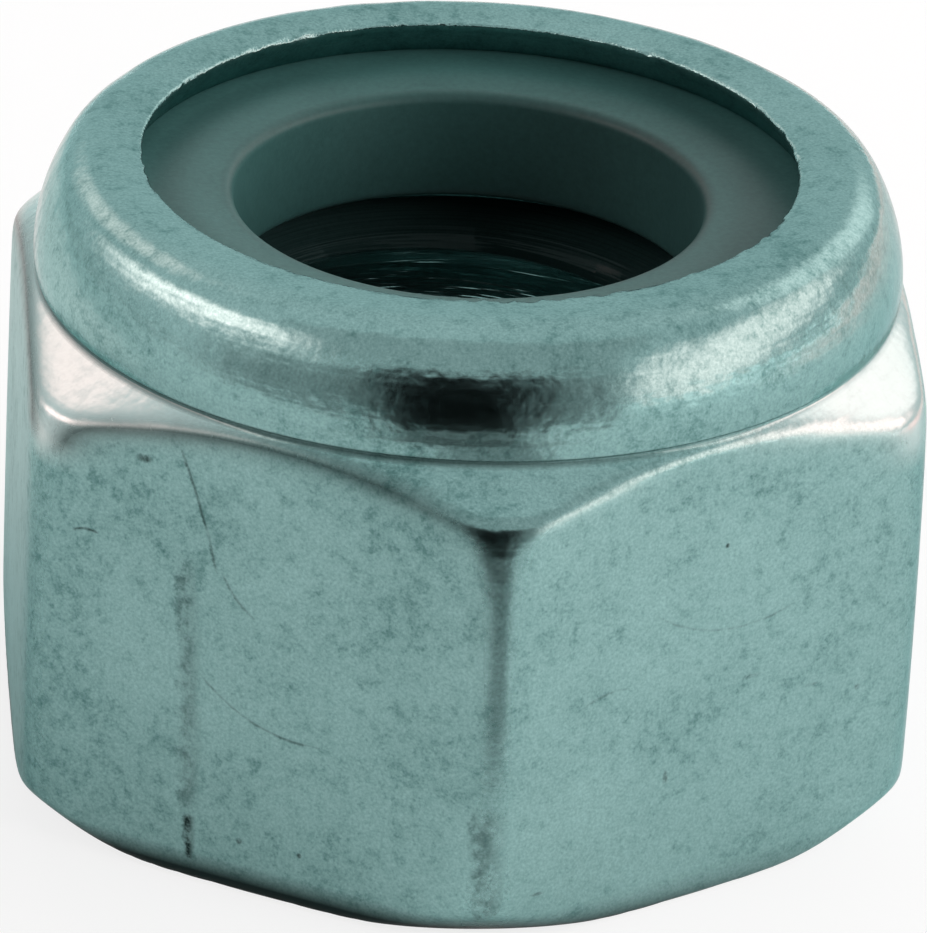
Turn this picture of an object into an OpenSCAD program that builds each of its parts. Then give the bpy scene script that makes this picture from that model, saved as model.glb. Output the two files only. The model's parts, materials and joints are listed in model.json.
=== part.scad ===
// Hexagon lock nut with a nylon insert held under a rolled collar.
// Origin: centre of the bearing face, +Z along the thread axis towards the insert.

/* [Hexagon] */
// Width across the flats
across_flats = 13; // [12.6:0.1:14.5]
// Height of the whole nut
nut_h = 9.2; // [8.6:0.1:11]
// Width of the narrow land left along each corner at mid height
corner_land = 0.15; // [0.1:0.05:0.6]
// How far the corners draw in from mid height to each end
corner_barrel = 0.09; // [0.02:0.01:0.2]
// Diameter of the bearing face
bearing_d = 13.2; // [11.6:0.1:13.6]
// Slope of the chamfer round the bearing face, in degrees
base_slope = 44; // [20:1:50]
// Slope of the chamfer under the collar, in degrees
top_slope = 32; // [15:1:40]
// Height of the steep facet at the top of each corner
facet_h = 0.6; // [0.2:0.05:1]
// How far the top of that facet draws in from the corner
facet_in = 0.14; // [0.08:0.02:0.3]

/* [Collar] */
// Height of the collar above the hexagon
collar_h = 1.85; // [1.7:0.05:2.6]
// How far the widest part of the collar stands in from the flats
collar_inset = 0.15; // [0.02:0.01:0.4]
// Height of the widest part above the foot of the collar
bulge_rise = 0.24; // [0.16:0.02:0.4]
// Radius of the rolled top edge
roll_r = 0.7; // [0.5:0.05:0.9]
// Angle at which the side of the collar turns into the roll, in degrees
roll_start = 30; // [20:1:40]
// Radius of the groove at the foot of the collar
foot_groove_r = 0.14; // [0.06:0.02:0.24]
// Radius of the lip's top, which falls from the roll to the opening
crest_r = 3; // [2:0.25:6]
// Opening inside the rolled lip
lip_d = 9.56; // [9:0.1:10.4]
// Radius on the upper edge of that opening
lip_edge_r = 0.1; // [0.04:0.02:0.2]
// Depth of the insert's top face below the top of the nut
lip_t = 0.62; // [0.45:0.01:0.75]
// Thickness of the collar's wall round the insert
collar_wall = 0.78; // [0.6:0.02:1.1]

/* [Insert] */
// Bore of the nylon insert
insert_bore_d = 6.86; // [6.7:0.02:7.6]
// Thickness of the nylon insert
insert_t = 1.7; // [1.2:0.05:2.2]
// Radius on the insert's outer top corner
insert_round = 0.5; // [0.3:0.05:0.9]
// Radius on the edges of the insert's bore
insert_edge = 0.16; // [0.04:0.02:0.4]
// Gap between the insert and the wall of its pocket
insert_gap = 0.02; // [0.01:0.01:0.05]

/* [Thread] */
// Bore of the thread, over its crests
thread_bore_d = 6.65; // [6.3:0.05:6.9]
// Mouth of the countersink in the bearing face
lead_in_d = 8.5; // [7.6:0.1:9.2]
// Slope of that countersink's wall, in degrees
lead_in_slope = 45; // [30:1:60]
// Width of the relief under the insert
relief_d = 8.3; // [7.4:0.1:9]
// Height of the relief's straight wall
relief_wall = 0.3; // [0.1:0.05:0.6]
// Depth of the whole relief, with its sloping floor
relief_h = 0.7; // [0.5:0.05:1.1]

/* [Hidden] */
$fn = 96;

// past the ends of the solids, so that no cut leaves a skin
over = 1;
barrel_fn = 360;

// hexagon
flat_r = across_flats / 2;
sharp_w = flat_r * tan(30);
function corner_r(land) = sqrt(pow(flat_r, 2) + pow(sharp_w - land / (2 * cos(30)), 2));
mid_r = corner_r(corner_land);
end_r = mid_r - corner_barrel;
hex_h = nut_h - collar_h;

// collar: a bulge arc, a smaller roll arc and a crest arc, each running on from the last at its tangent
collar_r = flat_r - collar_inset;
foot_r = collar_r - foot_groove_r;
groove_at = [collar_r, hex_h + foot_groove_r * (1 - sin(top_slope)) / cos(top_slope)];
groove_touch = groove_at - foot_groove_r * [sin(top_slope), cos(top_slope)];
bulge_z = hex_h + bulge_rise;
bulge_r = roll_r + (nut_h - bulge_z - roll_r) / sin(roll_start);
roll_at = [
    collar_r - bulge_r + (bulge_r - roll_r) * cos(roll_start),
    bulge_z + (bulge_r - roll_r) * sin(roll_start)
];

// pocket and insert
pocket_r = collar_r - collar_wall;
pocket_top = nut_h - lip_t;
pocket_floor = pocket_top - insert_t;
insert_r = pocket_r - insert_gap;

// lip: the round on its edge touches both the opening's wall and the crest arc from inside
lip_r = lip_d / 2;
crest_at = [roll_at[0], nut_h - crest_r];
lip_edge_at = [
    lip_r + lip_edge_r,
    crest_at[1] + sqrt(pow(crest_r - lip_edge_r, 2) - pow(roll_at[0] - lip_r - lip_edge_r, 2))
];
lip_touch = lip_edge_at + lip_edge_r * (lip_edge_at - crest_at) / norm(lip_edge_at - crest_at);

// thread bore
bore_r = thread_bore_d / 2;
lead_in_h = (lead_in_d / 2 - bore_r) * tan(lead_in_slope);
relief_z = pocket_floor - relief_h;

// Hexagon with its corner towards -Y
module hexagon() {
    rotate(30) circle(r = flat_r / cos(30), $fn = 6);
}

// Turned outline that trims the hexagon: two chamfers, steep facets and barrelled corners.
// The chamfer and the facet run on past the corners, and the barrel's arc ends them
module trim_section() {
    facet_r = end_r - facet_in;
    facet_top = hex_h - (facet_r - foot_r) * tan(top_slope);
    facet_low = facet_top - facet_h;
    base_top = (end_r - bearing_d / 2) * tan(base_slope);
    half_h = (facet_low - base_top) / 2;
    barrel_r = (pow(half_h, 2) + pow(corner_barrel, 2)) / (2 * corner_barrel);
    past = 1.5 * corner_barrel;
    intersection() {
        translate([mid_r - barrel_r, base_top + half_h]) circle(r = barrel_r, $fn = barrel_fn);
        polygon([
            [0, 0], [bearing_d / 2, 0], [end_r + past, base_top + past * tan(base_slope)],
            [end_r + past, facet_low - past * facet_h / facet_in],
            [facet_r, facet_top], [foot_r, hex_h], [0, hex_h]
        ]);
    }
}

module hexagon_block() {
    intersection() {
        linear_extrude(nut_h) hexagon();
        rotate_extrude() trim_section();
    }
}

// Section of the collar before the pocket is cut: the three arcs and what lies under them
module collar_outline() {
    bulge_at = [collar_r - bulge_r, bulge_z];
    turn = [cos(roll_start), sin(roll_start)];
    intersection() {
        translate(bulge_at) circle(r = bulge_r);
        polygon([
            bulge_at, bulge_at + (bulge_r + over) * turn,
            [collar_r + over, groove_at[1]], [bulge_at[0], groove_at[1]]
        ]);
    }
    intersection() {
        translate(roll_at) circle(r = roll_r);
        translate([lip_edge_at[0], hex_h]) square([collar_r, collar_h]);
    }
    intersection() {
        translate(crest_at) circle(r = crest_r, $fn = barrel_fn);
        translate([lip_touch[0], lip_edge_at[1]]) square([roll_at[0] - lip_touch[0], collar_h]);
    }
    translate(lip_edge_at) circle(r = lip_edge_r);
    polygon([
        [bulge_at[0], hex_h], groove_touch, groove_at, bulge_at + bulge_r * turn,
        roll_at, [roll_at[0], lip_edge_at[1]], [lip_r, lip_edge_at[1]], [lip_r, roll_at[1]],
        [bulge_at[0], roll_at[1]]
    ]);
}

// The groove at the foot runs smoothly into the chamfer below it
module collar_section() {
    difference() {
        collar_outline();
        translate(groove_at) circle(r = foot_groove_r);
    }
}

// Pocket for the insert, open above through the lip
module pocket_section() {
    translate([0, pocket_floor]) square([lip_r, nut_h]);
    insert_outline(pocket_r);
}

// Outline shared by the insert and its pocket: square below, rounded at the outer top corner
module insert_outline(outer_r) {
    round_z = pocket_top - insert_round;
    translate([0, pocket_floor]) square([outer_r, insert_t - insert_round]);
    translate([0, pocket_floor]) square([outer_r - insert_round, insert_t]);
    translate([outer_r - insert_round, round_z]) circle(r = insert_round);
}

module thread_bore() {
    translate([0, 0, -over]) cylinder(r = bore_r, h = nut_h + 2 * over);
    rotate_extrude() polygon([
        [0, -over], [lead_in_d / 2 + over / tan(lead_in_slope), -over],
        [bore_r, lead_in_h], [0, lead_in_h]
    ]);
    rotate_extrude() polygon([
        [0, relief_z], [bore_r, relief_z], [relief_d / 2, pocket_floor - relief_wall],
        [relief_d / 2, pocket_floor + over / 2], [0, pocket_floor + over / 2]
    ]);
}

module nut_body() {
    color("lightsteelblue") difference() {
        union() {
            hexagon_block();
            rotate_extrude() collar_section();
        }
        rotate_extrude() pocket_section();
        thread_bore();
    }
}

// Bore of the insert, with a round on both edges
module insert_bore_section() {
    bore = insert_bore_d / 2;
    translate([0, pocket_floor - over]) square([bore, insert_t + 2 * over]);
    for (end = [[pocket_floor - over, pocket_floor + insert_edge], [pocket_top - insert_edge, pocket_top - insert_edge]])
        difference() {
            translate([0, end[0]]) square([bore + insert_edge, insert_edge + over]);
            translate([bore + insert_edge, end[1]]) circle(r = insert_edge);
        }
}

module nylon_insert() {
    color("slategray") rotate_extrude() difference() {
        insert_outline(insert_r);
        insert_bore_section();
    }
}

nut_body();
nylon_insert();
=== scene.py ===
# nylon insert lock nut: steel body with its thread, nylon ring, floor, lights and camera
import json
import math
import bpy
import numpy as np
from mathutils import Matrix, Vector

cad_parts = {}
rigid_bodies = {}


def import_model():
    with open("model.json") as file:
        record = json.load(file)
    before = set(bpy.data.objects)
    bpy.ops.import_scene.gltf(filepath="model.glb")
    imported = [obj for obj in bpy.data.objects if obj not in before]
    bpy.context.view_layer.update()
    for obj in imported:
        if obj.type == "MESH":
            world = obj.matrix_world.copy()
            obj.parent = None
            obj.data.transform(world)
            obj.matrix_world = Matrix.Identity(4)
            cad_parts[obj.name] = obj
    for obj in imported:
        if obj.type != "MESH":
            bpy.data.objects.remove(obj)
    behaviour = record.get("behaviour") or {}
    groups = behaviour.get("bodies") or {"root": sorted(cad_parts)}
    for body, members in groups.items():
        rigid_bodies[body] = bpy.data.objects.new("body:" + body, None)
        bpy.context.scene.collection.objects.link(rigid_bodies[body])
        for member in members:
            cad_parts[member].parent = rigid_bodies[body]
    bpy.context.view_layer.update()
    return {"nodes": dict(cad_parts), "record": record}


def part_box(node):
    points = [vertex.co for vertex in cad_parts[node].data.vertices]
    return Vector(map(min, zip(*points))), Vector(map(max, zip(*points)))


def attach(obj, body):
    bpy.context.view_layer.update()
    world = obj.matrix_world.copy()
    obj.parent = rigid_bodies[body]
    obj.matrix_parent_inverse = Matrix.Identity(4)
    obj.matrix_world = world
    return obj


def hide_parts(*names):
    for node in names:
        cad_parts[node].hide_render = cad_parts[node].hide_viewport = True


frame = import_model()
mm = 0.001
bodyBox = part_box("nut_body")
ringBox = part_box("nylon_insert")
mounts = {m["name"]: m for m in frame["record"]["mounts"]}
print("frame loaded:", sorted(frame["nodes"]))


# ---- meshes ----

def buildMesh(name, points, quads, triangles=None, sharpAngle=40):
    # points in millimetres, faces as arrays of point numbers
    if triangles is None:
        triangles = np.zeros((0, 3), int)
    mesh = bpy.data.meshes.new(name)
    mesh.vertices.add(len(points))
    mesh.vertices.foreach_set("co", (points * mm).astype(np.float32).ravel())
    loops = np.concatenate([quads.ravel(), triangles.ravel()])
    sizes = np.concatenate([np.full(len(quads), 4), np.full(len(triangles), 3)])
    mesh.loops.add(len(loops))
    mesh.loops.foreach_set("vertex_index", loops.astype(np.int32))
    mesh.polygons.add(len(sizes))
    mesh.polygons.foreach_set("loop_start", (np.cumsum(sizes) - sizes).astype(np.int32))
    mesh.polygons.foreach_set("use_smooth", np.ones(len(sizes), bool))
    mesh.update(calc_edges=True)
    mesh.validate()
    mesh.set_sharp_from_angle(angle=math.radians(sharpAngle))
    piece = bpy.data.objects.new(name, mesh)
    bpy.context.scene.collection.objects.link(piece)
    return piece


def addAttribute(piece, name, values):
    layer = piece.data.attributes.new(name, "FLOAT", "POINT")
    layer.data.foreach_set("value", values.astype(np.float32))


def around(turn, radius, height):
    # turn from -Y towards +X, radius from the thread axis, height above the bearing face
    return np.stack([radius * np.sin(turn), -radius * np.cos(turn), height + 0 * turn], -1)


def gridQuads(first, rows, columns):
    # quads of a grid that closes on itself across its columns, rows in the order of the outline
    row, column = np.meshgrid(np.arange(rows - 1), np.arange(columns), indexing="ij")
    here = first + row * columns
    following = (column + 1) % columns
    corners = [here + column, here + following, here + columns + following, here + columns + column]
    return np.stack(corners, -1).reshape(-1, 4)


def arcPoints(centre, radius, start, end, count):
    # points on a circle in the radius-height plane, angles in degrees
    angle = np.radians(np.linspace(start, end, count))
    return np.stack([centre[0] + radius * np.cos(angle), centre[1] + radius * np.sin(angle)], -1)


def smoothMax(values, blend):
    # blend * log(sum of exp(value / blend)): the largest value, with its corners rounded
    top = np.max(values, axis=0)
    return top + blend * np.log(sum(np.exp((value - top) / blend) for value in values))


def ripple(points, wavelength, seed, waves=24):
    # sum of plane waves in random directions, between about -1 and 1
    rng = np.random.default_rng(seed)
    total = np.zeros(points.shape[:-1])
    for _ in range(waves):
        direction = rng.normal(size=3)
        direction *= 2 * math.pi / (wavelength * rng.uniform(0.7, 1.5) * np.linalg.norm(direction))
        total += np.sin(points @ direction + rng.uniform(0, 2 * math.pi))
    return total / math.sqrt(waves)


nut = {
    "cornerLand": 0.21,         # flat along each corner, at mid height
    "cornerBarrel": 0.09,       # how far the corners draw in towards each end
    "bearing": 13.2,            # diameter of the bearing face
    "bearingShift": (0.08, -35),    # its chamfer was cut off centre by this much, towards this turn
    "baseSlope": 44.0,          # chamfer round the bearing face
    "topSlope": 32.0,           # chamfer under the collar
    "facetHeight": 0.6,
    "facetIn": 0.14,
    "collarHeight": 1.85,
    "collarInset": 0.15,
    "collarShift": (0.076, 23),     # the collar was rolled off centre by this much, towards this turn
    "bulgeRise": 0.24,
    "rollRadius": 0.7,
    "rollStart": 30.0,
    "crestRadius": 3.0,
    "grooveRadius": 0.05,
    "lip": 9.56,                # opening inside the rolled lip
    "lipEdge": 0.06,
    "lipUndercut": 0.25,        # how far the lip's wall falls back above the ring
    "leadIn": 8.5,              # mouth of the countersink in the bearing face
    "relief": 8.3,              # widening under the ring
    "reliefWall": 0.3,
    "reliefDepth": 0.7,
    "edgeBlend": 0.1,           # rounding of the corners
    "facetBlend": 0.05,         # rounding round the steep facets
    "rimBlend": 0.085,          # rounding between the chamfer and the flats
    "baseBlend": 0.06,          # rounding round the bearing face
    "sectorColumns": 68,        # columns of the mesh in each sixth, and how much they crowd at its corners
    "cornerCrowding": 0.6,
    "rayCentre": (4.9, 3.6),    # radius and height from which the hexagon's rays fan out
    "rayReach": (0.5, 6.0),
    "rays": [(-88, -72, 4), (-72, -42, 30), (-42, 40, 14)],     # degrees from, to, and how many
    "topRays": 38,
    "halvings": 40,             # of the reach, to find where a ray stops
    "pocketGap": 0.02,
    "burr": 0.022,              # roughness of the lip's edge
    "dents": 0.01,              # long shallow waves in the rolled collar
}
thread = {
    "pitch": 1.25,
    "major": 8.04,
    "start": 0.24,              # height where it begins, in the countersink
    "blend": 0.015,             # rounding where it meets the countersink and the relief
    # place across one pitch, and depth from crest (0) to root (1)
    "outline": [(0.0, 1.0), (0.07, 0.97), (0.18, 0.63), (0.29, 0.28), (0.36, 0.06), (0.385, 0.0),
                (0.5, 0.0), (0.615, 0.0), (0.64, 0.06), (0.71, 0.28), (0.82, 0.63), (0.93, 0.97)],
}


def columnTurns():
    # equal steps round each sixth, then crowded towards its two corners by a sine
    step = np.arange(nut["sectorColumns"]) / nut["sectorColumns"]
    crowded = step - nut["cornerCrowding"] * np.sin(2 * math.pi * step) / (2 * math.pi)
    return ((np.arange(6)[:, None] + crowded) * math.pi / 3).ravel()


flatRadius = bodyBox[1].x / mm
nutHeight = bodyBox[1].z / mm
hexHeight = nutHeight - nut["collarHeight"]
collarRadius = flatRadius - nut["collarInset"]
grooveRadius = nut["grooveRadius"]
footRadius = collarRadius - grooveRadius
boreRadius = mounts["thread"]["dims"]["r_mm"]
pocketTop = ringBox[1].z / mm
pocketFloor = ringBox[0].z / mm
pocketRadius = ringBox[1].x / mm + nut["pocketGap"]


def cornerRadius(land):
    return math.hypot(flatRadius, flatRadius * math.tan(math.pi / 6) - land / (2 * math.cos(math.pi / 6)))


def hexagonSkin(turn):
    # rays fan out from a circle inside the steel. Each one stops where the smooth maximum of the
    # distances to the flats, the barrelled corners, the chamfers and the bearing face is zero
    slope, base = math.radians(nut["topSlope"]), math.radians(nut["baseSlope"])
    midCorner = cornerRadius(nut["cornerLand"])
    endCorner = midCorner - nut["cornerBarrel"]
    facetRadius = endCorner - nut["facetIn"]
    facetTop = hexHeight - (facetRadius - footRadius) * math.tan(slope)
    facetLow = facetTop - nut["facetHeight"]
    baseTop = (endCorner - nut["bearing"] / 2) * math.tan(base)
    middle, half = (facetLow + baseTop) / 2, (facetLow - baseTop) / 2
    lean = math.atan2(nut["facetIn"], nut["facetHeight"])

    inside = np.array(nut["rayCentre"])
    touch = np.array([collarRadius - grooveRadius * math.sin(slope),
                      hexHeight + grooveRadius * ((1 - math.sin(slope)) / math.cos(slope) - math.cos(slope))])
    topRay = math.degrees(math.atan2(touch[1] - inside[1], touch[0] - inside[0]))
    fans = [np.linspace(*fan)[:-1] for fan in nut["rays"]]
    lastFan = np.linspace(nut["rays"][-1][1], topRay, nut["topRays"])
    rays = np.radians(np.concatenate([*fans, lastFan]))[:, None]
    offCentre = np.abs((turn + math.pi / 6) % (math.pi / 3) - math.pi / 6)     # from the nearest corner
    toFlat = math.pi / 6 - offCentre
    shift, towards = nut["bearingShift"]
    bearingRadius = nut["bearing"] / 2 + shift * np.cos(turn - math.radians(towards))
    near, far = (np.full((len(rays), len(turn)), reach) for reach in nut["rayReach"])

    def distances(radius, height):
        flats = [radius * np.cos(toFlat) - flatRadius, radius * np.cos(math.pi / 3 - toFlat) - flatRadius]
        corner = radius - midCorner + nut["cornerBarrel"] * ((height - middle) / half) ** 2
        facet = (radius - endCorner) * math.cos(lean) + (height - facetLow) * math.sin(lean)
        chamfer = (radius - footRadius) * math.sin(slope) + (height - hexHeight) * math.cos(slope)
        foot = (radius - bearingRadius) * math.sin(base) - height * math.cos(base)
        return flats, corner, facet, chamfer, foot

    for _ in range(nut["halvings"]):
        reach = (near + far) / 2
        radius, height = inside[0] + reach * np.cos(rays), inside[1] + reach * np.sin(rays)
        flats, corner, facet, chamfer, foot = distances(radius, height)
        sides = smoothMax([*flats, corner], nut["edgeBlend"])
        upper = smoothMax([smoothMax([sides, chamfer], nut["rimBlend"]), facet], nut["facetBlend"])
        outside = smoothMax([upper, foot, -height], nut["baseBlend"]) > 0
        far = np.where(outside, reach, far)
        near = np.where(outside, near, reach)
    onFlat = np.exp((np.maximum(*flats) - upper) / nut["rimBlend"])
    return radius, height, onFlat


def collarOutline():
    # groove at the foot, then the bulge, roll and crest arcs, each starting at the last one's tangent,
    # the round edge of the lip, its wall falling back, and the pocket down to its floor
    start = math.radians(nut["rollStart"])
    slope = math.radians(nut["topSlope"])
    groove = np.array([collarRadius, hexHeight + grooveRadius * (1 - math.sin(slope)) / math.cos(slope)])
    roll, crest, edge, lip = nut["rollRadius"], nut["crestRadius"], nut["lipEdge"], nut["lip"] / 2
    bulgeHeight = hexHeight + nut["bulgeRise"]
    bulge = roll + (nutHeight - bulgeHeight - roll) / math.sin(start)
    bulgeAt = np.array([collarRadius - bulge, bulgeHeight])
    rollAt = bulgeAt + (bulge - roll) * np.array([math.cos(start), math.sin(start)])
    crestAt = np.array([rollAt[0], nutHeight - crest])
    edgeAt = np.array([lip + edge, crestAt[1] + math.sqrt((crest - edge) ** 2 - (rollAt[0] - lip - edge) ** 2)])
    edgeTurn = math.degrees(math.atan2(*(edgeAt - crestAt)[::-1]))
    parts = [
        arcPoints(groove, grooveRadius, 270 - nut["topSlope"] - 20, 110, 7),
        arcPoints(bulgeAt, bulge, 0.5, nut["rollStart"], 18)[:-1],
        arcPoints(rollAt, roll, nut["rollStart"], 90, 18)[:-1],
        arcPoints(crestAt, crest, 90, edgeTurn, 9)[:-1],
        arcPoints(edgeAt, edge, edgeTurn, 180, 6),
        np.linspace([lip, edgeAt[1]], [lip + nut["lipUndercut"], pocketTop + 0.03], 6)[1:],
        arcPoints([pocketRadius - 0.5, pocketTop - 0.5], 0.5, 90, 0, 6),
        np.array([[pocketRadius, pocketFloor], [nut["relief"] / 2, pocketFloor],
                  [nut["relief"] / 2, pocketFloor - nut["reliefWall"]]]),
    ]
    return np.concatenate(parts)


def threadStrip(turn, low, high, firstPoint, lowRing, highRing):
    # rows climb one pitch a turn, so the crests and roots run along the rows of the grid. Rows past
    # either end are drawn onto the ring of points there
    columns, perPitch = len(turn), len(thread["outline"])
    places, depths = np.array(thread["outline"]).T
    pitches = math.ceil((high - low) / thread["pitch"]) + 2
    along = (np.arange(pitches)[:, None] + places).ravel() * thread["pitch"] + low - thread["pitch"] * 1.2
    depth = np.tile(depths, pitches)
    height = along[:, None] + thread["pitch"] * turn / (2 * math.pi)
    radius = boreRadius + depth[:, None] * (thread["major"] / 2 - boreRadius) + 0 * turn
    floorRise = (height - pocketFloor + nut["reliefDepth"]) / (nut["reliefDepth"] - nut["reliefWall"])
    reliefFloor = boreRadius + floorRise * (nut["relief"] / 2 - boreRadius)
    radius = smoothMax([radius, nut["leadIn"] / 2 - height, reliefFloor], thread["blend"])
    number = firstPoint + np.arange(height.size).reshape(height.shape)
    number = np.where(height <= low, lowRing, np.where(height >= high, highRing, number))
    lastColumn = np.concatenate([number[perPitch:, 0], np.full(perPitch, highRing[0])])
    number = np.concatenate([number, lastColumn[:, None]], 1)
    a, b, c, d = number[:-1, :-1], number[1:, :-1], number[1:, 1:], number[:-1, 1:]
    faces = np.concatenate([np.stack([a, b, c], -1).reshape(-1, 3), np.stack([a, c, d], -1).reshape(-1, 3)])
    whole = (faces[:, 0] != faces[:, 1]) & (faces[:, 1] != faces[:, 2]) & (faces[:, 2] != faces[:, 0])
    return around(turn, radius, height).reshape(-1, 3), faces[whole]


def roughenCollar(turn, radii, heights):
    # the collar was pressed over: off centre, with shallow waves in its side and roll, and a torn edge on
    # the lip. Each is a ripple in space times a smooth weight that is 1 on its own part and 0 elsewhere
    points = around(turn, radii, heights)
    shift, towards = nut["collarShift"]
    outer = (radii > pocketRadius + 0.04) | (heights > pocketTop + 0.15)
    pressed = outer * np.clip((heights - hexHeight + 0.3) / 0.3, 0, 1) * np.clip((radii - 4.95) / 0.5, 0, 1)
    side = outer * np.clip((heights - hexHeight - 0.3) / 0.3, 0, 1) * np.clip((radii - 4.9) / 0.3, 0, 1)
    waves = nut["dents"] * side * (ripple(points, 3.2, 3) ** 2 + 0.3 * ripple(points, 1.5, 4) ** 2)
    edge = np.exp(-((radii - nut["lip"] / 2) / 0.08) ** 2) * np.clip((heights - nutHeight + 0.22) / 0.12, 0, 1)
    patches = np.clip(0.3 + 0.7 * ripple(points, 2.2, 5), 0.05, 1)
    torn = nut["burr"] * edge * patches * (0.4 * ripple(points, 0.45, 6) + 0.8 * ripple(points, 0.22, 7))
    radii = radii + pressed * shift * np.cos(turn - math.radians(towards)) - 0.6 * waves - torn
    return radii, np.minimum(heights - 0.5 * waves + 0.7 * torn, nutHeight)


def makeNutBody():
    turn = columnTurns()
    columns = len(turn)
    radius, height, onFlat = hexagonSkin(turn)
    outline = collarOutline()
    low, high = thread["start"], pocketFloor - nut["reliefWall"] - 0.02
    # rings in order round the section, from the foot of the thread to its top
    base = np.array([[nut["leadIn"] / 2 - low, low], [nut["leadIn"] / 2 - 0.03, 0.03], [nut["leadIn"] / 2 + 0.02, 0]])
    floorRun = (nut["relief"] / 2 - boreRadius) / (nut["reliefDepth"] - nut["reliefWall"])
    tail = np.concatenate([outline, [[nut["relief"] / 2 - 0.02 * floorRun, high]]])
    radii = np.concatenate([base[:, :1] + 0 * turn, radius, tail[:, :1] + 0 * turn])
    heights = np.concatenate([base[:, 1:] + 0 * turn, height, tail[:, 1:] + 0 * turn])
    radii, heights = roughenCollar(turn, radii, heights)
    flatShare = np.concatenate([np.zeros((3, columns)), onFlat, np.zeros((len(tail), columns))])
    points = around(turn, radii, heights).reshape(-1, 3)
    rows = len(radii)
    quads = gridQuads(0, rows, columns)
    lowRing, highRing = np.arange(columns), (rows - 1) * columns + np.arange(columns)
    strip, stripFaces = threadStrip(turn, low, high, len(points), lowRing, highRing)
    points = np.concatenate([points, strip])
    used = np.zeros(len(points), bool)
    used[quads.ravel()] = True
    used[stripFaces.ravel()] = True
    renumber = np.cumsum(used) - 1
    piece = buildMesh("nut_body_plated", points[used], renumber[quads], renumber[stripFaces])
    share = np.concatenate([flatShare.ravel(), np.zeros(len(strip))])[used]
    addAttribute(piece, "onFlat", share)
    print("nut body:", len(piece.data.loops) - 2 * len(piece.data.polygons), "triangles")
    return piece


ring = {
    "bore": 6.86,
    "boreEdge": 0.16,
    "outerRound": 0.5,
    "crown": 0.03,              # how far the free part of the top face swells up
    "columns": 240,
}


def makeNylonRing():
    # closed outline of the ring's section: bore wall, top edge, crowned top, outer round, wall, underside
    bore, edge, outer = ring["bore"] / 2, ring["boreEdge"], ringBox[1].x / mm
    crownEnd = nut["lip"] / 2
    inner = np.linspace(bore + edge, crownEnd, 16)[1:]
    crown = ring["crown"] * np.sin(math.pi * (inner - bore - edge) / (crownEnd - bore - edge)) ** 2
    outline = np.concatenate([
        arcPoints([bore + edge, pocketFloor + edge], edge, 270, 180, 6),
        np.stack([np.full(10, bore), np.linspace(pocketFloor + edge, pocketTop - edge, 12)[1:-1]], -1),
        arcPoints([bore + edge, pocketTop - edge], edge, 180, 90, 8),
        np.stack([inner, pocketTop + crown], -1),
        arcPoints([outer - ring["outerRound"], pocketTop - ring["outerRound"]], ring["outerRound"], 90, 0, 8),
        np.array([[outer, pocketFloor]]),
    ])[::-1]
    turn = np.linspace(0, 2 * math.pi, ring["columns"], endpoint=False)
    points = around(turn, outline[:, :1] + 0 * turn, outline[:, 1:] + 0 * turn).reshape(-1, 3)
    quads = gridQuads(0, len(outline), len(turn))
    last = (len(outline) - 1) * len(turn)
    column = np.arange(len(turn))
    following = (column + 1) % len(turn)
    closing = np.stack([last + column, last + following, following, column], -1)
    piece = buildMesh("nylon_ring", points, np.concatenate([quads, closing]), sharpAngle=50)
    print("nylon ring:", len(piece.data.loops) - 2 * len(piece.data.polygons), "triangles")
    return piece


# ---- materials ----

def linear(hexColour):
    # sRGB hex to linear
    values = [int(hexColour[i:i + 2], 16) / 255 for i in (1, 3, 5)]
    return tuple(v / 12.92 if v <= 0.04045 else ((v + 0.055) / 1.055) ** 2.4 for v in values) + (1.0,)


def addNode(tree, kind, settings=None, links=None):
    # a node with its settings, and its inputs linked or set by name or number
    node = tree.nodes.new(kind)
    for key, value in (settings or {}).items():
        setattr(node, key, value)
    for key, value in (links or {}).items():
        if isinstance(value, bpy.types.NodeSocket):
            tree.links.new(value, node.inputs[key])
        else:
            node.inputs[key].default_value = value
    return node


def maths(tree, operation, *values, clamp=False):
    # the result of a math node on sockets or numbers
    return addNode(tree, "ShaderNodeMath", {"operation": operation, "use_clamp": clamp},
                   dict(enumerate(values))).outputs[0]


def ramp(tree, value, start, end, low=0.0, high=1.0):
    # low at start and high at end, straight between them and level past them
    return addNode(tree, "ShaderNodeMapRange", links={
        "Value": value, "From Min": start, "From Max": end, "To Min": low, "To Max": high}).outputs[0]


def noise(tree, place, scale, detail, roughness):
    return addNode(tree, "ShaderNodeTexNoise", links={
        "Vector": place, "Scale": scale, "Detail": detail, "Roughness": roughness}).outputs[0]


def mixColours(tree, share, first, second):
    return addNode(tree, "ShaderNodeMix", {"data_type": "RGBA"}, {"Factor": share, 6: first, 7: second}).outputs[2]


def bumpFrom(tree, height):
    # height in millimetres
    return addNode(tree, "ShaderNodeBump", links={"Height": height, "Distance": mm, "Strength": 1.0}).outputs[0]


def newMaterial(name):
    material = bpy.data.materials.new(name)
    material.use_nodes = True
    material.node_tree.nodes.clear()
    return material, material.node_tree


def placeInMillimetres(tree):
    # the object's own coordinates, and the distance from the thread axis
    coords = addNode(tree, "ShaderNodeTexCoord")
    place = addNode(tree, "ShaderNodeMapping", links={
        "Vector": coords.outputs["Object"], "Scale": (1 / mm, 1 / mm, 1 / mm)}).outputs[0]
    level = addNode(tree, "ShaderNodeVectorMath", {"operation": "MULTIPLY"}, {0: place, 1: (1, 1, 0)})
    length = addNode(tree, "ShaderNodeVectorMath", {"operation": "LENGTH"}, {0: level.outputs[0]})
    return place, length.outputs["Value"]


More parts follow.
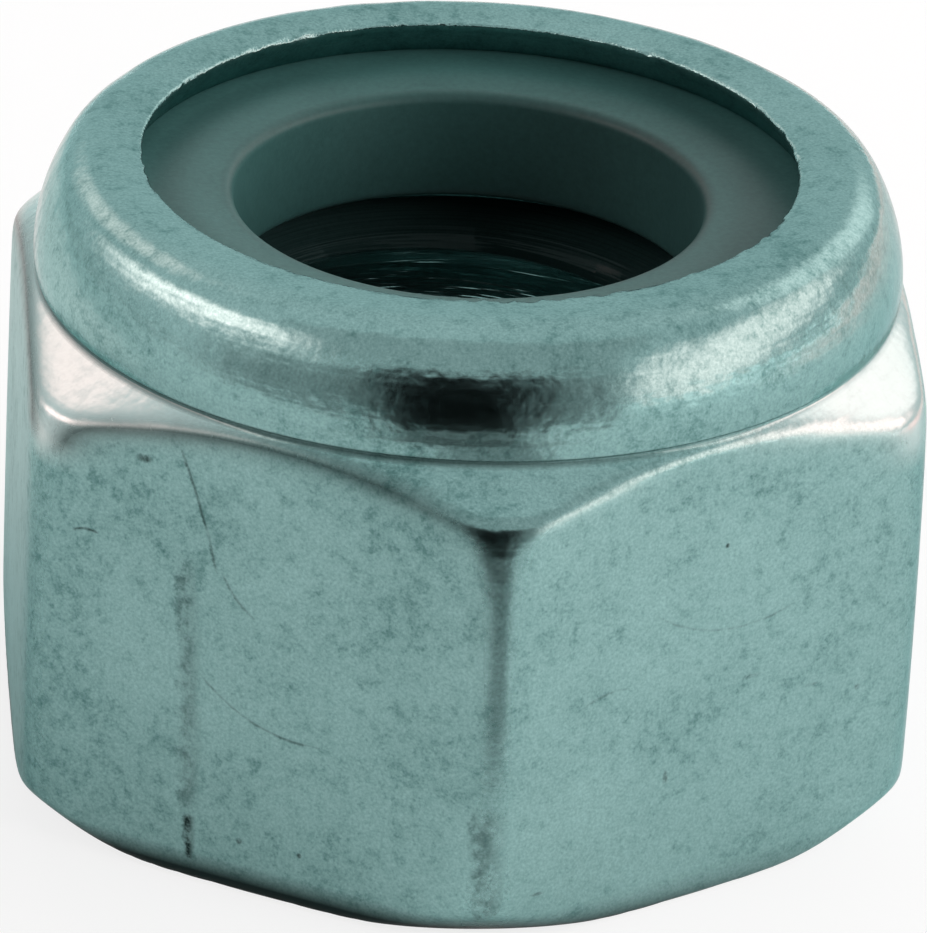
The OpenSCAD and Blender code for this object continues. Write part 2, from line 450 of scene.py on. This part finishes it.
zinc = {
    "dark": "#4C7977",          # grey-green of the plating's low places
    "light": "#A2CAC8",
    # colour of the marks' grime and of the painted shade
    "dirtAndShade": "#152625",
    "paintedChamferHighlight": "#CFDFDD",        # painted highlight on the chamfer under the collar, at two sides
    "grazing": "#D3E7E7",       # tint at a grazing view
    "flatRoughness": 0.36,
    "turnedRoughness": 0.17,
    "speckRoughness": 0.08,     # added by the specks, and by the marks
    "markRoughness": 0.2,
    "crystals": 22.0,           # per mm. Real ones are a few microns, far too fine to show
    "mottling": 4.2,
    "clouds": 0.42,
    "specks": (0.35, 0.55),     # where the mottling turns into specks
    "speckGather": 0.35,        # how strongly they gather where the clouds are dark
    "speckDepth": 0.24,
    # share of the lighter colour, and what each pattern adds to it
    "tone": {"base": 0.14, "crystals": 0.7, "clouds": 0.45, "mottling": -0.3, "flats": 0.06},
    "paintedBoreShade": (5.7, 5.95, 0.05, 0.97),    # painted shade in the bore, from the thread to the relief's floor: two heights, its strength at each
    # painted shade on each edge, and the chamfer's painted highlight: two places (mm), and the strength at each
    "dirtAndShadeLevel": 0.75,
    "paintedEdgeShadeSide": (5.0, -1.0, 0.4, 1.1),      # along x: most of the painted shade on the edges is at one side
    "paintedLowEdgeShade": (0.5, 0.05, 0.0, 1.7),       # painted shade on the lower edge: height
    "paintedLowEdgeShadeRadius": (6.0, 6.4),            # from the axis, which keeps it off the bearing face
    "groove": (0.08, 0.02, 0.0, 0.8),       # painted shade in the groove: above or below the foot of the collar
    "paintedRimShade": (6.2, 6.5, 0.0, 1.9),            # painted shade on the flats' upper border: height
    "paintedRimShadeSide": (-0.3, -1.6),                # along x
    "chamferHighlightSides": (3.0, 5.0, 0.0, 0.8),    # painted highlight: along x, both ways
    "chamferHighlightHeight": (6.0, 6.4),
    # relief of the surface, per mm and depth in mm
    "rings": (7.0, 0.004),
    "boreRings": (16.0, 0.024),
    "rolling": (1.7, 0.02),
    "crystalDepth": 0.0005,
    "tornDepth": 0.012,                     # on the lip
    # handling marks on two of the flats: turn of the flat, then place across it and height (mm)
    "flats": {
        -30: {
            # start, end, how far it bows, half width, strength
            "scratches": [
                ((-1.33, 6.95), (-0.67, 5.03), 0.05, 0.035, 0.8), ((-0.67, 5.03), (-0.12, 4.42), -0.06, 0.03, 0.7),
                ((-1.04, 3.17), (0.98, 2.46), -0.26, 0.03, 0.6), ((-1.2, 5.3), (-1.0, 0.95), 0.04, 0.22, 0.5),
                ((-1.03, 1.1), (-1.0, 0.28), 0.0, 0.11, 1.3), ((3.6, 2.4), (3.68, 0.2), 0.0, 0.28, 0.6),
                ((-3.05, 5.2), (-2.62, 5.26), 0.05, 0.03, 1.0)],
            # middle, half width and half height, strength
            "spots": [((-1.92, 6.58), (0.12, 0.065), 1.0), ((-0.21, 0.86), (0.05, 0.05), 1.2),
                      ((0.75, 0.88), (0.04, 0.04), 1.0)],
        },
        30: {
            "scratches": [((-1.2, 4.55), (1.43, 4.1), -0.36, 0.03, 0.45),
                          ((-2.3, 3.75), (-1.45, 3.86), 0.08, 0.03, 0.4)],
            "spots": [((-0.74, 2.15), (0.045, 0.12), 1.4), ((0.13, 5.67), (0.04, 0.04), 1.2),
                      ((2.66, 2.72), (0.05, 0.05), 1.2), ((-2.89, 0.85), (0.12, 0.03), 0.8),
                      ((0.7, 3.42), (0.18, 0.04), 0.5), ((1.8, 2.99), (0.12, 0.03), 0.5)],
        },
    },
}


def scratchStrength(tree, onFlat, rough, start, end, bow, halfWidth, strength):
    # one less the distance from its bowed line over its half width, and fading to nothing at its ends. It is
    # measured from its own middle, turned along itself
    (x0, z0), (x1, z1) = start, end
    half = math.hypot(x1 - x0, z1 - z0) / 2
    along = addNode(tree, "ShaderNodeMapping", {"vector_type": "TEXTURE"}, {
        "Vector": onFlat, "Location": ((x0 + x1) / 2, -flatRadius, (z0 + z1) / 2),
        "Rotation": (0, -math.atan2(z1 - z0, x1 - x0), 0), "Scale": (half, 1, 1)})
    parts = addNode(tree, "ShaderNodeSeparateXYZ", links={0: along.outputs[0]})
    square = maths(tree, "POWER", parts.outputs["X"], 2.0)
    bowed = maths(tree, "MULTIPLY_ADD", square, bow, parts.outputs["Z"])
    wandered = maths(tree, "MULTIPLY_ADD", rough, 1.6 * halfWidth, bowed)
    body = ramp(tree, maths(tree, "ABSOLUTE", wandered), halfWidth, 0.2 * halfWidth, 0.0, strength)
    ends = ramp(tree, square, 1.0, 0.6)
    nearFlat = maths(tree, "COMPARE", parts.outputs["Y"], 0.0, 0.3)
    return maths(tree, "MULTIPLY", maths(tree, "MULTIPLY", body, ends), nearFlat)


def spotStrength(tree, onFlat, middle, halves, strength):
    near = addNode(tree, "ShaderNodeMapping", {"vector_type": "TEXTURE"}, {
        "Vector": onFlat, "Location": (middle[0], -flatRadius, middle[1]), "Scale": (halves[0], 0.3, halves[1])})
    away = addNode(tree, "ShaderNodeVectorMath", {"operation": "LENGTH"}, {0: near.outputs[0]})
    return ramp(tree, away.outputs["Value"], 1.2, 0.5, 0.0, strength)


def handlingMarks(tree, place, rough):
    # the strongest of all the scratches and spots at each place
    total = 0.0
    for turn, marks in zinc["flats"].items():
        # on the flat, x runs across it, z is the height and y is minus half the width across flats
        onFlat = addNode(tree, "ShaderNodeMapping", links={
            "Vector": place, "Rotation": (0, 0, math.radians(-turn))}).outputs[0]
        strengths = [scratchStrength(tree, onFlat, rough, *scratch) for scratch in marks["scratches"]]
        strengths += [spotStrength(tree, onFlat, *spot) for spot in marks["spots"]]
        for strength in strengths:
            total = maths(tree, "MAXIMUM", total, strength)
    return total


def zincPlatedSteel():
    # zinc electroplate: satin, mottled and a little dirty on the rolled flats, smoother and brighter on the turned
    # collar and chamfers, where the tool's rings and the rolling break up the reflections. Painted shade darkens the
    # lower edge, the groove under the collar, the flats' upper left border and the bore, and a painted highlight
    # lightens the chamfer at two sides
    material, tree = newMaterial("zincPlatedSteel")
    place, radius = placeInMillimetres(tree)
    flatShare = addNode(tree, "ShaderNodeAttribute", {"attribute_name": "onFlat"}).outputs["Fac"]
    turnedShare = maths(tree, "SUBTRACT", 1.0, flatShare)
    parts = addNode(tree, "ShaderNodeSeparateXYZ", links={0: place}).outputs
    across, height = parts["X"], parts["Z"]
    inBore = maths(tree, "LESS_THAN", radius, nut["relief"] / 2 - 0.02)

    crystals = noise(tree, place, zinc["crystals"], 1.0, 0.7)
    mottling = noise(tree, place, zinc["mottling"], 3.0, 0.72)
    clouds = noise(tree, place, zinc["clouds"], 2.0, 0.55)
    specks = ramp(tree, maths(tree, "MULTIPLY_ADD", clouds, -zinc["speckGather"], mottling), *zinc["specks"])
    marks = handlingMarks(tree, place, maths(tree, "SUBTRACT", mottling, 0.5))
    markDirt = maths(tree, "MULTIPLY", marks, ramp(tree, mottling, 0.4, 0.6, 0.35, 1.0))

    # painted shade on the lower edge and in the groove under the collar, most of it at one side, and painted shade on
    # the flats' upper border at the left, which is where the share of flat goes from 1 to 0 above the middle of the
    # nut
    paintedLowEdgeShade = maths(tree, "MULTIPLY", ramp(tree, height, *zinc["paintedLowEdgeShade"]),
                    ramp(tree, radius, *zinc["paintedLowEdgeShadeRadius"]))
    fromFoot = maths(tree, "ABSOLUTE", maths(tree, "SUBTRACT", height, hexHeight + 0.02))
    paintedEdgeShade = maths(tree, "MAXIMUM", paintedLowEdgeShade, ramp(tree, fromFoot, *zinc["groove"]))
    paintedEdgeShade = maths(tree, "MULTIPLY", paintedEdgeShade, ramp(tree, across, *zinc["paintedEdgeShadeSide"]))
    # painted shade on the flats' upper border, at the left only
    paintedRimShade = maths(tree, "MULTIPLY", maths(tree, "PINGPONG", flatShare, 0.5), ramp(tree, height, *zinc["paintedRimShade"]))
    paintedRimShade = maths(tree, "MULTIPLY", paintedRimShade, ramp(tree, across, *zinc["paintedRimShadeSide"]))
    # the grime in the marks is the plating's own; the rest is painted shade
    dirtAndShade = maths(tree, "MAXIMUM", markDirt, maths(tree, "MAXIMUM", paintedEdgeShade, paintedRimShade))
    dirtAndShade = maths(tree, "MULTIPLY", dirtAndShade, zinc["dirtAndShadeLevel"])
    # painted shade in the bore, nearly black from the top of the thread up to the relief
    paintedBoreShade = maths(tree, "MULTIPLY", inBore, ramp(tree, height, *zinc["paintedBoreShade"]))
    dirtAndShade = maths(tree, "MAXIMUM", dirtAndShade, paintedBoreShade, clamp=True)

    tone = zinc["tone"]["base"]
    for part, pattern in {"crystals": crystals, "clouds": clouds, "mottling": mottling, "flats": flatShare}.items():
        tone = maths(tree, "MULTIPLY_ADD", pattern, zinc["tone"][part], tone)
    tone = maths(tree, "MULTIPLY_ADD", specks, -zinc["speckDepth"], tone, clamp=True)
    colour = mixColours(tree, tone, linear(zinc["dark"]), linear(zinc["light"]))
    # painted highlight: the chamfer under the collar is lighter at two sides
    paintedChamferHighlight = maths(tree, "MULTIPLY", ramp(tree, maths(tree, "ABSOLUTE", across), *zinc["chamferHighlightSides"]), turnedShare)
    onChamfer = maths(tree, "MULTIPLY", ramp(tree, height, *zinc["chamferHighlightHeight"]),
                      maths(tree, "LESS_THAN", height, hexHeight))
    colour = mixColours(tree, maths(tree, "MULTIPLY", paintedChamferHighlight, onChamfer), colour, linear(zinc["paintedChamferHighlight"]))
    colour = mixColours(tree, dirtAndShade, colour, linear(zinc["dirtAndShade"]))

    roughness = ramp(tree, flatShare, 0.0, 1.0, zinc["turnedRoughness"], zinc["flatRoughness"])
    roughness = maths(tree, "MULTIPLY_ADD", specks, zinc["speckRoughness"], roughness)
    roughness = maths(tree, "MULTIPLY_ADD", markDirt, zinc["markRoughness"], roughness)

    # heights in millimetres. On the turned zones: rings from the tool, made from the radius and height alone
    # with a little of the place itself to break them, and the rolling's waves
    section = addNode(tree, "ShaderNodeCombineXYZ", links={"X": radius, "Z": height}).outputs[0]
    section = addNode(tree, "ShaderNodeVectorMath", {"operation": "MULTIPLY_ADD"}, {
        0: place, 1: (0.03, 0.03, 0), 2: section}).outputs[0]
    (fineness, depth), (boreFineness, boreDepth) = zinc["rings"], zinc["boreRings"]
    rings = noise(tree, section, maths(tree, "MULTIPLY_ADD", inBore, boreFineness - fineness, fineness), 1.0, 0.7)
    ringRelief = maths(tree, "MULTIPLY", rings, maths(tree, "MULTIPLY_ADD", inBore, boreDepth - depth, depth))
    rolling = noise(tree, place, zinc["rolling"][0], 2.5, 0.66)
    relief = maths(tree, "MULTIPLY", maths(tree, "MULTIPLY_ADD", rolling, zinc["rolling"][1], ringRelief), turnedShare)
    # the crystals everywhere, far deeper on the lip's torn edge
    nearLip = ramp(tree, radius, nut["lip"] / 2 + 0.22, nut["lip"] / 2 + 0.02)
    onLip = maths(tree, "MULTIPLY", nearLip, maths(tree, "GREATER_THAN", height, pocketTop + 0.3))
    crystalDepth = maths(tree, "MULTIPLY_ADD", onLip, zinc["tornDepth"], zinc["crystalDepth"])
    relief = maths(tree, "MULTIPLY_ADD", crystals, crystalDepth, relief)

    shader = addNode(tree, "ShaderNodeBsdfPrincipled", links={
        "Base Color": colour, "Metallic": maths(tree, "SUBTRACT", 1.0, dirtAndShade), "Roughness": roughness,
        "Specular IOR Level": 0.1, "Specular Tint": linear(zinc["grazing"]), "Normal": bumpFrom(tree, relief)})
    addNode(tree, "ShaderNodeOutputMaterial", links={"Surface": shader.outputs[0]})
    return material


nylon = {
    "dark": "#2C504E",
    "light": "#426B68",
    "paintedBoreWallShade": "#142625",           # painted shade on the bore's wall
    "boreWallShadeShare": 0.55,
    "boreWallShadeReach": (0.22, 0.05),   # outside the bore's radius: where the painted shade starts, and where it is full
    "roughness": 0.45,
    "grain": 10.0,              # per mm, of the moulding's fine grain, drawn coarser than it is
    "grainDepth": 0.003,
    "clouds": 0.8,              # per mm
    # share of the lighter colour, and what each pattern adds to it
    "tone": {"base": -0.4, "grain": 1.2, "clouds": 0.6},
}


def mouldedNylon():
    # nylon 6, moulded: soft sheen over a dull, slightly uneven body, with painted shade on the bore's wall
    material, tree = newMaterial("mouldedNylon")
    place, radius = placeInMillimetres(tree)
    grain = noise(tree, place, nylon["grain"], 3.0, 0.7)
    clouds = noise(tree, place, nylon["clouds"], 3.0, 0.5)
    tone = maths(tree, "MULTIPLY_ADD", grain, nylon["tone"]["grain"], nylon["tone"]["base"])
    tone = maths(tree, "MULTIPLY_ADD", clouds, nylon["tone"]["clouds"], tone, clamp=True)
    start, full = (ring["bore"] / 2 + reach for reach in nylon["boreWallShadeReach"])
    # painted shade on the bore's wall and its rounded edge
    paintedBoreWallShade = ramp(tree, radius, start, full, 0.0, nylon["boreWallShadeShare"])
    colour = mixColours(tree, tone, linear(nylon["dark"]), linear(nylon["light"]))
    colour = mixColours(tree, paintedBoreWallShade, colour, linear(nylon["paintedBoreWallShade"]))
    relief = maths(tree, "MULTIPLY", grain, nylon["grainDepth"])
    shader = addNode(tree, "ShaderNodeBsdfPrincipled", links={
        "Base Color": colour, "Roughness": nylon["roughness"], "IOR": 1.53, "Specular IOR Level": 0.25,
        "Normal": bumpFrom(tree, relief)})
    addNode(tree, "ShaderNodeOutputMaterial", links={"Surface": shader.outputs[0]})
    return material


# ---- pieces ----

body = makeNutBody()
body.data.materials.append(zincPlatedSteel())
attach(body, "root")
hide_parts("nut_body")

insert = makeNylonRing()
insert.data.materials.append(mouldedNylon())
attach(insert, "root")
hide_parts("nylon_insert")
print("pieces dressed")


# ---- floor, lights and camera ----

studio = {
    "floor": "#F2F2F2",
    "floorSize": 1200.0,
    "floorSeen": (0.8, 0.12),   # share of plain white in the floor, to the camera and in reflections
    "world": 0.2,               # world light on matt surfaces; it is white in reflections
    "camera": {"turn": -6.03, "rise": 26.66, "roll": 2.86, "distance": 138.6, "aim": (0.12, 4.115),
               "lens": 362.0, "sensor": 36.0, "clip": (5.0, 5000.0)},
    # turn from the camera's own and rise seen from the nut, distance, width and height (mm), watts
    "panels": {
        "leftPanel": {"turn": -88, "rise": 32, "distance": 260, "size": (280, 120), "watts": 0.3, "tint": "#FFFAF9"},
        "rightPanel": {"turn": 84, "rise": 22, "distance": 260, "size": (370, 130), "watts": 1.25, "tint": "#FFFAF9"},
        "window": {"turn": 166, "rise": 17, "distance": 300, "size": (420, 120), "watts": 0.85, "tint": "#FFFFFF"},
    },
    # cards seen only in reflections: turn from the camera's own and rise, distance, size, how bright, how much of
    # each half width and half height fades out, and for some a tilt, a tint, or lying on the floor
    "cards": {
        "leftGlow": {"turn": -81, "rise": 26, "distance": 200, "size": (380, 88), "tilt": 13,
                     "level": 3.6, "tint": "#FFD6D3", "fade": (0.9, 0.85)},
        "leftBack": {"turn": -137, "rise": 36, "distance": 210, "size": (200, 110), "tilt": 52,
                     "level": 1.8, "tint": "#FFE0DD", "fade": (0.7, 0.8)},
        "rightGlow": {"turn": 82, "rise": 18, "distance": 200, "size": (400, 130), "tilt": 16,
                      "level": 2.7, "tint": "#FFDAD7", "fade": (0.6, 0.65)},
        "rightBack": {"turn": 136, "rise": 34, "distance": 190, "size": (230, 130), "tilt": -48,
                      "level": 1.85, "tint": "#FFEBE9", "fade": (0.6, 0.7)},
        "rightFloor": {"turn": 135, "rise": 0.1, "distance": 130, "size": (170, 220), "lying": True,
                       "level": 1.9, "tint": "#FFCCC8", "fade": (0.5, 0.5)},
        "leftFloor": {"turn": -150, "rise": 0.1, "distance": 35, "size": (70, 60), "lying": True,
                      "level": 1.35, "tint": "#FFEBE9", "fade": (0.5, 0.5)},
        "frontSky": {"turn": 0, "rise": 51, "distance": 150, "size": (270, 145), "level": 0.6, "fade": (0.3, 0.3)},
        "leftHorizon": {"turn": -43, "rise": 9, "distance": 62, "size": (72, 40), "tilt": 10,
                        "level": 0.42, "fade": (0.8, 0.6)},
        "frontSide": {"turn": 26, "rise": 15, "distance": 44, "size": (26, 26), "level": 0.3, "fade": (0.95, 0.3)},
        "frontLeft": {"turn": -22, "rise": 14, "distance": 44, "size": (24, 25), "level": 0.3, "fade": (0.95, 0.6)},
        "frontCard": {"turn": 0, "rise": 16, "distance": 32, "size": (28, 22), "level": 0.0, "fade": (0.5, 0.25)},
        "floorFront": {"turn": 1, "rise": 0.1, "distance": 26, "size": (28, 13), "lying": True,
                       "level": 0.1, "fade": (0.8, 0.5)},
        "floorFlag": {"turn": 8, "rise": 0.2, "distance": 17.5, "size": (10, 13), "lying": True,
                      "level": 0.4, "fade": (0.5, 0.5)},
    },
}


def directionTo(turn, rise):
    # unit vector at a turn from -Y towards +X and a rise above the floor, in degrees
    t, e = math.radians(turn), math.radians(rise)
    return Vector((math.sin(t) * math.cos(e), -math.cos(t) * math.cos(e), math.sin(e)))


def rayKinds(tree):
    # whether a ray comes from a reflection or through glass, and whether it is the camera's own
    path = addNode(tree, "ShaderNodeLightPath").outputs
    return maths(tree, "MAXIMUM", path["Is Glossy Ray"], path["Is Transmission Ray"]), path["Is Camera Ray"]


def makeWorld():
    # white to the camera, in reflections and through glass, dimmer as a lamp
    world = bpy.data.worlds.new("studio")
    bpy.context.scene.world = world
    world.use_nodes = True
    tree = world.node_tree
    tree.nodes.clear()
    shiny, toCamera = rayKinds(tree)
    level = ramp(tree, maths(tree, "MAXIMUM", toCamera, shiny), 0.0, 1.0, studio["world"], 1.0)
    back = addNode(tree, "ShaderNodeBackground", links={"Strength": level})
    addNode(tree, "ShaderNodeOutputWorld", links={"Surface": back.outputs[0]})


def makeFloor():
    # matt white board; part of it is plain white to the camera and in reflections, the rest holds the shadow
    material, tree = newMaterial("paleFloor")
    board = addNode(tree, "ShaderNodeBsdfDiffuse", links={"Color": linear(studio["floor"])})
    white = addNode(tree, "ShaderNodeEmission", links={"Strength": 1.0})
    shiny, toCamera = rayKinds(tree)
    cameraShare, shinyShare = studio["floorSeen"]
    share = maths(tree, "MULTIPLY_ADD", shiny, shinyShare, maths(tree, "MULTIPLY", toCamera, cameraShare))
    mixed = addNode(tree, "ShaderNodeMixShader", links={0: share, 1: board.outputs[0], 2: white.outputs[0]})
    addNode(tree, "ShaderNodeOutputMaterial", links={"Surface": mixed.outputs[0]})
    corners = np.array([[-1, -1, 0], [1, -1, 0], [1, 1, 0], [-1, 1, 0]]) * studio["floorSize"] / 2
    floor = buildMesh("floor", corners, np.array([[0, 1, 2, 3]]))
    floor.data.materials.append(material)


def makePanel(name, place):
    # a soft panel that faces the nut
    lamp = bpy.data.lights.new(name, "AREA")
    lamp.shape = "RECTANGLE"
    lamp.size, lamp.size_y = (side * mm for side in place["size"])
    lamp.energy = place["watts"]
    lamp.color = linear(place["tint"])[:3]
    panel = bpy.data.objects.new(name, lamp)
    bpy.context.scene.collection.objects.link(panel)
    back = directionTo(studio["camera"]["turn"] + place["turn"], place["rise"])
    facing = back.to_track_quat("Z", "Y").to_matrix().to_4x4()
    panel.matrix_world = Matrix.Translation(back * place["distance"] * mm) @ facing
    panel.visible_glossy = False    # reflections show the cards in place of the panels


def makeCard(name, place):
    # a plain card that faces the nut or lies on the floor, and fades out towards its sides
    material, tree = newMaterial(name)
    share = 1.0
    for side, fade in zip(("across", "along"), place["fade"]):
        away = addNode(tree, "ShaderNodeAttribute", {"attribute_name": side}).outputs["Fac"]
        left = addNode(tree, "ShaderNodeMapRange", {"interpolation_type": "SMOOTHSTEP"}, {
            "Value": maths(tree, "ABSOLUTE", away), "From Min": 1.0, "From Max": 1.0 - fade}).outputs[0]
        share = maths(tree, "MULTIPLY", left, share)
    clear = addNode(tree, "ShaderNodeBsdfTransparent")
    glow = addNode(tree, "ShaderNodeEmission", links={
        "Color": linear(place.get("tint", "#FFFFFF")), "Strength": place["level"]})
    mixed = addNode(tree, "ShaderNodeMixShader", links={0: share, 1: clear.outputs[0], 2: glow.outputs[0]})
    addNode(tree, "ShaderNodeOutputMaterial", links={"Surface": mixed.outputs[0]})
    back = directionTo(studio["camera"]["turn"] + place["turn"], place["rise"])
    level = Vector((0, 0, 1)).cross(back).normalized()
    steep = back.copy() if place.get("lying") else back.cross(level)
    tilt = math.radians(place.get("tilt", 0))
    across = level * math.cos(tilt) + steep * math.sin(tilt)
    up = steep * math.cos(tilt) - level * math.sin(tilt)
    ends = np.array([(-1, -1), (1, -1), (1, 1), (-1, 1)], float)
    width, height = (np.array(side) * size / 2 for side, size in zip((across, up), place["size"]))
    corners = np.array(back * place["distance"]) + ends[:, :1] * width + ends[:, 1:] * height
    card = buildMesh(name, corners, np.array([[0, 1, 2, 3]]))
    addAttribute(card, "across", ends[:, 0])
    addAttribute(card, "along", ends[:, 1])
    card.data.materials.append(material)
    card.visible_camera = card.visible_diffuse = card.visible_shadow = False


def makeCamera():
    view = studio["camera"]
    data = bpy.data.cameras.new("camera")
    data.lens = view["lens"]
    data.sensor_width = view["sensor"]
    data.clip_start, data.clip_end = (distance * mm for distance in view["clip"])
    camera = bpy.data.objects.new("camera", data)
    bpy.context.scene.collection.objects.link(camera)
    back = directionTo(view["turn"], view["rise"])
    right = Vector((0, 0, 1)).cross(back).normalized()
    aim = (right * view["aim"][0] + Vector((0, 0, view["aim"][1]))) * mm
    up = back.cross(right)
    tilt = math.radians(view["roll"])
    camRight = right * math.cos(tilt) + up * math.sin(tilt)
    camUp = back.cross(camRight)
    turnTo = Matrix((camRight, camUp, back)).transposed()
    camera.matrix_world = Matrix.Translation(aim + back * view["distance"] * mm) @ turnTo.to_4x4()
    bpy.context.scene.camera = camera


makeWorld()
makeFloor()
for name, place in studio["panels"].items():
    makePanel(name, place)
for name, place in studio["cards"].items():
    makeCard(name, place)
makeCamera()
bpy.context.scene.view_settings.view_transform = "Standard"
print("floor,", len(studio["panels"]), "lamps,", len(studio["cards"]), "cards and camera made")
